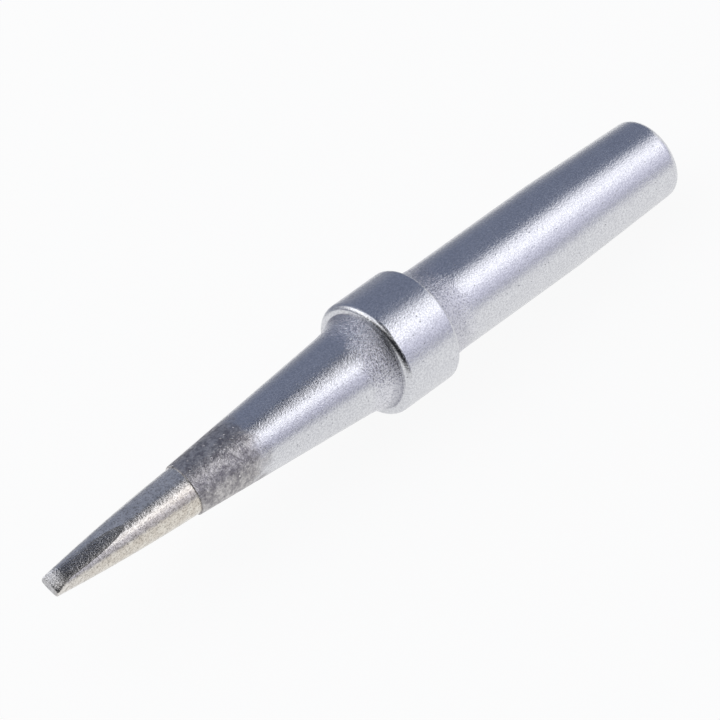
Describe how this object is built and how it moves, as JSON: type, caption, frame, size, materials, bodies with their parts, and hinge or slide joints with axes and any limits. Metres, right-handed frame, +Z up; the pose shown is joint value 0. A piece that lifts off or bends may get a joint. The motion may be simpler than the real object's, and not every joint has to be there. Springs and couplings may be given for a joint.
{
  "type": "soldering iron tip",
  "caption": "Long-reach chisel soldering tip: a tinned blade and a plated cone in front of a stop collar, with a plain rear shank that slides into the iron's heater.",
  "frame": {"origin": "centre of the lying tip's box in plan, on the surface that it lies on", "axes": "+Z up, +X from the blade towards the rear end of the shank, in plan; the tip's own axis dips 3.22 degrees below +X towards the rear, because it lies on its collar's rear rim and on the end of its shank"},
  "size_m": [0.0498, 0.0074, 0.0076],
  "materials": {
    "plated_tip": "satin plating with fine pits, sandy in the flares beside the collar, with a dull mottled band behind the tinning line and a bright tinned blade"
  },
  "bodies": {
    "root": {"tip_body": "plated_tip"}
  },
  "joints": []
}
